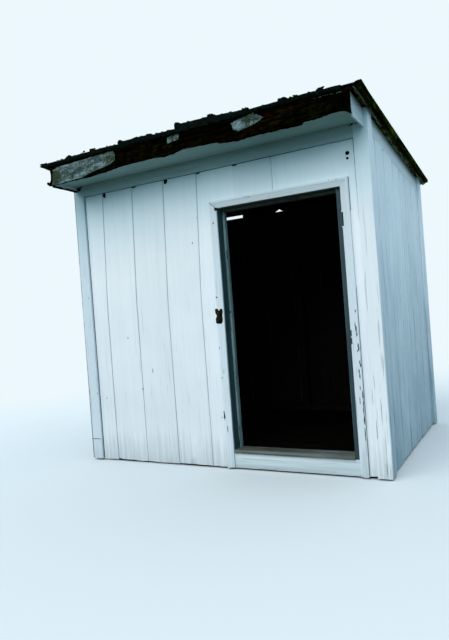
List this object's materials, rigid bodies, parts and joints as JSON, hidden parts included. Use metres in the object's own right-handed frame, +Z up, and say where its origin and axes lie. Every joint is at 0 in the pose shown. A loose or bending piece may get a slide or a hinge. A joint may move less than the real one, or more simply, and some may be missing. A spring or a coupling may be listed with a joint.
{
  "type": "garden shed",
  "caption": "Small timber shed with a single-slope roof, vertical channel boards, a boxed front eave and an open doorway",
  "frame": {"origin": "on the ground, under the middle of the roof's outline", "axes": "X from left to right along the front, Y from the doorway to the back, Z up"},
  "size_m": [2.614, 2.371, 2.467],
  "materials": {
    "painted_boards": "old white paint",
    "painted_trim": "old white paint",
    "weathered_sides": "worn white paint over grey wood",
    "jamb_paint": "worn dark paint",
    "rotten_fascia": "bare and rotten, with patches of old paint",
    "frame_timber": "rough sawn and darkened",
    "floor_timber": "worn planks",
    "roof_boards": "rough sawn and darkened",
    "roofing": "mineral felt shingles with moss",
    "rusty_iron": "rusted"
  },
  "bodies": {
    "root": {"front_wall_left": "painted_boards", "front_wall_over_door": "painted_boards", "front_wall_right": "painted_boards", "door_apron": "painted_boards", "back_wall": "painted_boards", "corner_boards_front": "painted_trim", "corner_boards_back": "painted_trim", "corner_boards_left": "painted_trim", "corner_boards_right": "painted_trim", "front_frieze": "painted_trim", "back_frieze": "painted_trim", "side_friezes": "painted_trim", "casing_left": "painted_trim", "casing_right": "painted_trim", "casing_head": "painted_trim", "soffit": "painted_trim", "eave_returns": "painted_trim", "left_wall": "weathered_sides", "right_wall": "weathered_sides", "jamb_left": "jamb_paint", "jamb_right": "jamb_paint", "jamb_head": "jamb_paint", "fascia": "rotten_fascia", "verge_boards": "rotten_fascia", "sills": "frame_timber", "floor_joists": "frame_timber", "front_plates": "frame_timber", "back_plates": "frame_timber", "side_plates": "frame_timber", "front_studs": "frame_timber", "back_studs": "frame_timber", "left_studs": "frame_timber", "right_studs": "frame_timber", "door_header": "frame_timber", "rafters": "frame_timber", "bay_blocks": "frame_timber", "floor_planks": "floor_timber", "threshold": "floor_timber", "roof_deck": "roof_boards", "roofing": "roofing", "latch_keeper": "rusty_iron"}
  },
  "joints": []
}
